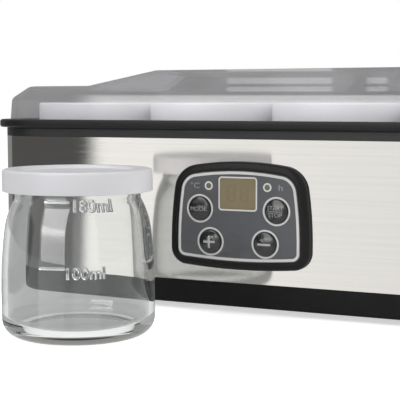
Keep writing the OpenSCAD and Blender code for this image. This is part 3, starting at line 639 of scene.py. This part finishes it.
bm = bmesh.new()
loft(bm, coverRings(shell["thick"])[::-1] + coverRings(0))
makePiece("clearCover", bm, "cover_clear", "cover", nodes=("cover",), sharp=50)
print("cover made")

# control panel

panel = {"wide": 77.6, "low": 23.2, "footR": 320.0, "footCornerR": 9.0, "sideR": 200.0, "sideLow": 1.0, "sideTurn": 8.3,
    "topCornerR": 14.0, "topTurn": 81.0, "thick": 5.0, "crown": 3.2, "rim": 4.4, "rimEdge": 0.3, "back": 0.05,
    "fasciaInset": 4.5, "fasciaBack": 3.0, "fasciaFront": 4.3}


# five arcs up the right side, each touching the next, and their mirror image
def panelOutline(inset):
    footR, sideR = panel["footR"], panel["sideR"]
    footCorner, topCorner = panel["footCornerR"], panel["topCornerR"]
    sideLow, sideTurn, topTurn = panel["sideLow"], panel["sideTurn"], panel["topTurn"]
    sideX = panel["wide"] / 2 - sideR
    footX = sideX + (sideR - footCorner) * cos(radians(sideLow))
    footTurn = degrees(asin(footX / (footR - footCorner)))
    footY = footR - (footR - footCorner) * cos(radians(footTurn))
    sideY = footY + (sideR - footCorner) * sin(radians(sideLow))
    cornerX = sideX + (sideR - topCorner) * cos(radians(sideTurn))
    cornerY = sideY + (sideR - topCorner) * sin(radians(sideTurn))
    topR = cornerX / cos(radians(topTurn)) + topCorner
    topY = cornerY - (topR - topCorner) * sin(radians(topTurn))
    right = arc(0, footR, footR - inset, -90, footTurn - 90, 5)
    right += arc(footX, footY, footCorner - inset, footTurn - 90, -sideLow, 12, skip=1)
    right += arc(sideX, sideY, sideR - inset, -sideLow, sideTurn, 5, skip=1)
    right += arc(cornerX, cornerY, topCorner - inset, sideTurn, topTurn, 12, skip=1)
    right += arc(0, topY, topR - inset, topTurn, 90, 5, skip=1)
    return right + [(-x, y) for x, y in right[-2:0:-1]]


def onPanel(x, y, out):
    return (x, frontY - out, panel["low"] + y)


def panelRing(inset, out):
    return [onPanel(x, y, out) for x, y in panelOutline(inset)]


bm = bmesh.new()
crown, edge = panel["crown"], panel["rimEdge"]
outline = [(0, panel["back"])] + arc(crown, panel["thick"] - crown, crown, 180, 90, 9)
outline += [(panel["rim"] - edge, panel["thick"]), (panel["rim"], panel["thick"] - edge), (panel["rim"], panel["back"])]
first, last = loft(bm, [panelRing(inset, out) for inset, out in outline], False, False)
bmesh.ops.bridge_loops(bm, edges=ringEdges(bm, first) + ringEdges(bm, last))
makePiece("panelFrame", bm, "gloss_black", "machine", nodes=("control_bezel",), sharp=45)

buttons = {"mode": (-21.4, 31.6), "start": (21.4, 31.6), "plus": (-15.3, 14.5), "minus": (15.3, 14.5)}
buttonHole = 6.45
window = {"halfX": 9.9, "halfY": 7.95, "y": 39.85, "corner": 0.9, "gap": 0.05, "back": 2.0, "front": 4.1}
indicators = {"x": 16.35, "y": 43.7, "hole": 1.2}
indicatorSpots = [(side * indicators["x"], indicators["y"]) for side in (-1, 1)]


def windowSpots(grow):
    halfX, halfY, r = window["halfX"] + grow, window["halfY"] + grow, window["corner"] + grow
    spots = []
    for quarter, (sideX, sideY) in enumerate(corners):
        x, y = sideX * (halfX - r), window["y"] + sideY * (halfY - r)
        spots += arc(x, y, r, 90 * quarter, 90 * quarter + 90, 4)
    return spots


holes = [circleSpots(x, y, buttonHole) for x, y in buttons.values()]
holes += [circleSpots(x, y, indicators["hole"], 24) for x, y in indicatorSpots]
holes.append(windowSpots(window["gap"]))
bm = flatSheet([panelOutline(panel["fasciaInset"])] + holes, panel["fasciaBack"], panel["fasciaFront"])
makePiece("panelPlate", bm, "fascia_grey", "machine", nodes=("panel_fascia",), sharp=30)

# each line's two edges: insets of the outline, growth of the window, radii round buttons and indicators
ink = {"outline": (4.95, 6.35), "window": (0.9, 0.1), "button": (7.5, 6.5), "indicator": (2.3, 1.45), "sink": 0.02,
    "out": 0.04}
inkLow, inkHigh = panel["fasciaFront"] - ink["sink"], panel["fasciaFront"] + ink["out"]
lines = [[panelOutline(inset) for inset in ink["outline"]], [windowSpots(grow) for grow in ink["window"]]]
lines += [[circleSpots(x, y, r) for r in ink["button"]] for x, y in buttons.values()]
lines += [[circleSpots(x, y, r, 32) for r in ink["indicator"]] for x, y in indicatorSpots]
bm = bmesh.new()
for line in lines:
    joinInto(bm, flatSheet(line, inkLow, inkHigh))
makePiece("panelPrint", bm, "print_white", "machine")

labels = [("°C", -24.2, 5.2, 3.0), ("h", 23.6, 2.2, 3.0)]
bm = bmesh.new()
for words, middle, wide, high in labels:
    part = textMesh(words, 3, ink["sink"] + ink["out"])
    stretchTo(part, wide, high)
    for vert in part.verts:
        x, y, out = vert.co / mm
        vert.co = Vector(onPanel(middle + x, indicators["y"] + y, inkLow + out)) * mm
    joinInto(bm, part)
makePiece("panelLabels", bm, "print_grey", "machine")

bm = flatSheet([windowSpots(0)], window["back"], window["front"])
makePiece("displayWindow", bm, "display_tint", "machine", nodes=("display_lens",))

digit = {"wide": 4.6, "high": 8.6, "bar": 0.8, "gap": 0.15, "x": 3.6, "sink": 0.02, "out": 0.03}


def barSpots(x, y, halfX, halfY):
    tip, end = min(halfX, halfY), max(halfX, halfY)
    shape = [(-end, 0), (tip - end, -tip), (end - tip, -tip), (end, 0), (end - tip, tip), (tip - end, tip)]
    if halfY > halfX:
        shape = [(-b, a) for a, b in shape]
    return [(x + a, y + b) for a, b in shape]


bars = []
reach = digit["wide"] / 2 - digit["bar"] / 2
lift = digit["high"] / 4 - digit["bar"] / 4
half, gap = digit["bar"] / 2, digit["gap"]
for middle in (-digit["x"], digit["x"]):
    bars += [barSpots(middle, window["y"] + level * lift, reach - gap, half) for level in (-2, 0, 2)]
    for side in (-1, 1):
        x = middle + side * reach
        bars += [barSpots(x, window["y"] + level * lift, half, lift - gap) for level in (-1, 1)]
bm = bmesh.new()
for spots in bars:
    joinInto(bm, flatSheet([spots], window["front"] - digit["sink"], window["front"] + digit["out"]))
makePiece("displayDigits", bm, "digit_ghost", "machine")

domes = {"r": 6.2, "face": 4.4, "edge": 1.0, "stand": 1.2, "bulge": 0.9, "collarR": 7.3, "collar": 2.95,
    "collarThick": 0.8, "stemR": 2.0, "stemLow": 0.62}


def domeHeight(reach):
    return domes["face"] + domes["stand"] + domes["bulge"] * (1 - (reach / (domes["r"] - domes["edge"])) ** 2)


def buttonMesh():
    r, edge, collar = domes["r"], domes["edge"], domes["collar"]
    under = collar - domes["collarThick"]
    points = [(0, domes["stemLow"]), (domes["stemR"], domes["stemLow"]), (domes["stemR"], under)]
    points += [(domes["collarR"], under), (domes["collarR"], collar), (r, collar), (r, domes["face"])]
    points += arc(r - edge, domes["face"] + domes["stand"] - edge, edge, 0, 75, 5)
    points += [(reach, domeHeight(reach)) for reach in (4.8, 4.2, 3.2, 2.2, 1.2, 0)]
    bm = spin(points, 64)
    bmesh.ops.rotate(bm, verts=bm.verts, cent=(0, 0, 0), matrix=Matrix.Rotation(pi / 2, 3, "X"))
    return bm


# each line's words, its height over the button's middle, and its width and height
buttonWords = {
    "mode": [("MODE", 0, 9.2, 2.2)],
    "start": [("START", 1.75, 8.6, 2.1), ("-", 0, 8.0, 0.3), ("STOP", -1.75, 7.4, 2.1)],
    "plus": [("+", 0, 6.4, 6.6)],
    "minus": [("-", 0, 7.0, 1.0)],
}
letters = {"deep": 0.3, "out": 0.08, "longest": 1.2}


def buttonPrint(name, x, y):
    bm = bmesh.new()
    for words, rise, wide, high in buttonWords[name]:
        part = textMesh(words, 3, letters["deep"])
        stretchTo(part, wide, high)
        long = [e for e in part.edges if e.calc_length() > letters["longest"] * mm]
        bmesh.ops.subdivide_edges(part, edges=long, cuts=3)
        for vert in part.verts:
            across, up = vert.co.x / mm, vert.co.y / mm + rise
            out = domeHeight(sqrt(across * across + up * up)) + vert.co.z / mm + letters["out"]
            vert.co = Vector(onPanel(x + across, y + up, out)) * mm
        joinInto(bm, part)
    return bm


for name, (x, y) in buttons.items():
    bm = buttonMesh()
    bmesh.ops.translate(bm, verts=bm.verts, vec=Vector(onPanel(x, y, 0)) * mm)
    makePiece(f"button{name.title()}", bm, "button_black", f"button_{name}", nodes=(f"button_{name}",), sharp=50)
    paint = "print_pale" if name in ("plus", "minus") else "print_grey"
    makePiece(f"button{name.title()}Print", buttonPrint(name, x, y), paint, f"button_{name}")
print("control panel made")


# room

# levels of light, and edges as parts of a direction: dx to the right, dy away from the front, dz up
studio = {
    "front": (0.1, 0.2), "wall": 0.27, "back": 0.33, "below": 0.75, "belowEdge": (-0.4, -0.22), "trapped": 0.45,
    "boxEdges": (-0.502, 0.16), "boxSoft": 0.006, "boxLevel": 0.77, "boxFall": 0.7, "topLow": (0.06, 0.25),
    "boxTop": 3.9, "topHigh": (0.24, 0.34), "boxLid": 2.5, "leftEdge": (-0.509, -0.497), "leftDim": 0.15,
    "sideTurn": (22, 62), "sideSoft": 4, "sideLevel": 0.6, "ambient": 0.5, "underCover": 1.5,
}
# painted reflections and painted shade, seen only through the cover and the glass: pale bars and a pale sill, and grey
# levels stepped darker or lighter from left to right
paintedBehind = {
    "level": 0.17, "leftEdge": (-0.75, -0.5), "left": 0.13, "middleEdge": (-0.32, -0.25), "middle": 0.08,
    "rightEdge": (0.1, 0.5), "right": 0.35, "lowBar": (0.0099, 0.0139), "midBar": (0.0166, 0.022),
    "highBar": (0.0276, 0.0304), "wide": (-0.396, -0.309), "narrow": (-0.28, -0.263), "bars": 0.3,
    "sillHigh": (0, 0.0066), "sillEdge": (-0.52, -0.495), "paintedSill": 0.4, "soft": 0.0008, "sideSoft": 0.003,
}
throughGlass = {"lift": 0.07, "mirror": 1.1, "wholeJar": 0.45, "box": 4.0, "soaked": 1.0, "firstWall": 2.5, "jar": 5.5}


def mirroredRoom(w, dx, dy, dz, ahead, box):
    turn = w.maths("ARCTAN2", dx, 0 - dy) * (180 / pi)  # 0 to the front, positive to the right
    left = (1 - dx.step(*studio["leftEdge"])) * ahead
    boxLevel = studio["boxLevel"] - dx * studio["boxFall"]
    boxLevel = boxLevel + dz.step(*studio["topLow"]) * studio["boxTop"] - dz.step(*studio["topHigh"]) * studio["boxLid"]
    side = turn.band(*studio["sideTurn"], studio["sideSoft"]) * studio["sideLevel"]
    glow = studio["wall"] + box * boxLevel + side - left * studio["leftDim"]
    glow = glow * ahead + (1 - ahead) * studio["back"]
    above = dz.step(*studio["belowEdge"])
    return glow * above + (1 - above) * studio["below"]


def paintedViewBehind(dx, dz, ahead):
    soft, sideSoft = paintedBehind["soft"], paintedBehind["sideSoft"]
    # painted reflections: pale bars and a pale sill, drawn by direction
    paintedSlats = dz.band(*paintedBehind["lowBar"], soft) + dz.band(*paintedBehind["midBar"], soft)
    bars = dx.band(*paintedBehind["wide"], sideSoft) * (paintedSlats + dz.band(*paintedBehind["highBar"], soft))
    bars = bars + dx.band(*paintedBehind["narrow"], sideSoft) * paintedSlats
    paintedSill = dz.band(*paintedBehind["sillHigh"], soft) * dx.step(*paintedBehind["sillEdge"])
    # painted shade and light: the grey level seen through clear parts, darker or lighter from left to right
    paintedBackdrop = paintedBehind["level"] + dx.step(*paintedBehind["leftEdge"]) * paintedBehind["left"]
    paintedBackdrop = paintedBackdrop - dx.step(*paintedBehind["middleEdge"]) * paintedBehind["middle"] + dx.step(*paintedBehind["rightEdge"]) * paintedBehind["right"]
    return paintedBackdrop + (bars * paintedBehind["bars"] + paintedSill * paintedBehind["paintedSill"]) * (1 - ahead)


def makeWorld():
    world = bpy.data.worlds.new("studio")
    world.use_nodes = True
    world.node_tree.nodes.clear()
    w = Wire(world.node_tree)
    split = w.node("ShaderNodeSeparateXYZ", None, {0: w.node("ShaderNodeTexCoord")})
    dx, dy, dz = (split.other(axis) for axis in "XYZ")
    ahead = 1 - dy.step(*studio["front"])
    box = dx.band(*studio["boxEdges"], studio["boxSoft"]) * ahead
    camera, glossy, through = w.rays("Is Camera Ray", "Is Glossy Ray", "Is Transmission Ray")
    diffuse, mirrors = w.rays("Diffuse Depth", "Glossy Depth")
    crossings, glass = w.rays("Transparent Depth", "Transmission Depth")
    soaked, mirrored, crossed, trapped = diffuse.once(), mirrors.once(), crossings.once(), mirrors.more(oneMirror)
    glow = mirroredRoom(w, dx, dy, dz, ahead, box)
    glow = glow * (1 - trapped) + trapped * studio["trapped"]
    # painted backdrop with painted reflections and painted shade, seen only through the cover and the glass
    paintedBackdrop = paintedViewBehind(dx, dz, ahead)
    level = (studio["ambient"] + crossed * (1 - dz) * studio["underCover"]) * (1 - glossy) + glow * glossy
    inGlass = glow * (throughGlass["mirror"] + glass.less(throughGlass["jar"]) * throughGlass["wholeJar"])
    inGlass = inGlass + box * glass.less(throughGlass["firstWall"]) * (1 - trapped) * throughGlass["box"]
    clearView = (paintedBackdrop + throughGlass["lift"]) * (1 - mirrored) + inGlass * mirrored
    level = level * (1 - through) + through * (clearView * (1 - soaked) + soaked * throughGlass["soaked"])
    level = level * (1 - camera) + camera * (1 - crossed + crossed * paintedBackdrop)
    shade = w.node("ShaderNodeBackground", None, {"Color": (1, 1, 1), "Strength": level})
    w.node("ShaderNodeOutputWorld", None, {"Surface": shade})
    bpy.context.scene.world = world


lampAim = (0, 0, 0.05)
lamps = {
    "keyLamp": {"spot": (-0.9, -1.3, 1.3), "aim": lampAim, "size": (1.2, 1.0), "power": 8},
    "fillLamp": {"spot": (1.5, -0.8, 0.9), "aim": lampAim, "size": (1.0, 1.0), "power": 3.5},
    "topLamp": {"spot": (0.0, 0.2, 1.6), "aim": lampAim, "size": (1.4, 1.2), "power": 4.5},
    # light that the steel wall throws back on the front jar
    "steelBounce": {"spot": (-0.01, wallLow[1] - 0.0006, 0.053), "aim": (-0.01, -1, 0.053), "size": (0.28, 0.07),
        "power": 0.13},
}


def makeLamp(name, lamp):
    data = bpy.data.lights.new(name, "AREA")
    data.shape = "RECTANGLE"
    data.size, data.size_y = lamp["size"]
    data.energy = lamp["power"]
    light = bpy.data.objects.new(name, data)
    light.location = lamp["spot"]
    light.rotation_euler = (Vector(lamp["aim"]) - Vector(lamp["spot"])).to_track_quat("-Z", "Y").to_euler()
    light.visible_glossy = False
    light.visible_transmission = False
    light.visible_camera = False
    bpy.context.scene.collection.objects.link(light)


paper = {"halfSize": 4, "colour": (0.8, 0.8, 0.8), "lift": 0.6, "grey": 0.4, "mirrorLift": 0.53}


def makeFloor():
    bm = bmesh.new()
    bmesh.ops.create_grid(bm, x_segments=1, y_segments=1, size=paper["halfSize"])
    mesh = bpy.data.meshes.new("floor")
    bm.to_mesh(mesh)
    bm.free()
    floor = bpy.data.objects.new("floor", mesh)
    bpy.context.scene.collection.objects.link(floor)
    material, w = newTree("floorPaper")
    camera, through = w.rays("Is Camera Ray", "Is Transmission Ray")
    diffuse, mirrors, crossings = w.rays("Diffuse Depth", "Glossy Depth", "Transparent Depth")
    trapped = mirrors.more(oneMirror)
    matt = w.node("ShaderNodeBsdfDiffuse", None, {"Color": paper["colour"]})
    level = camera * (1 - crossings.once()) * paper["lift"]
    lift = w.node("ShaderNodeEmission", None, {"Color": (1, 1, 1), "Strength": level})
    level = paper["grey"] + mirrors.once() * (1 - trapped) * paper["mirrorLift"]
    grey = w.node("ShaderNodeEmission", None, {"Color": (1, 1, 1), "Strength": level})
    lit = w.node("ShaderNodeAddShader", None, {0: matt, 1: lift})
    finishTree(w, w.mixShader(w.maths("MAXIMUM", through, trapped) * (1 - diffuse.once()), lit, grey))
    mesh.materials.append(material)
    floor.visible_glossy = False


makeWorld()
for name, lamp in lamps.items():
    makeLamp(name, lamp)
makeFloor()
bpy.context.scene.view_settings.view_transform = "Standard"
print("room made")
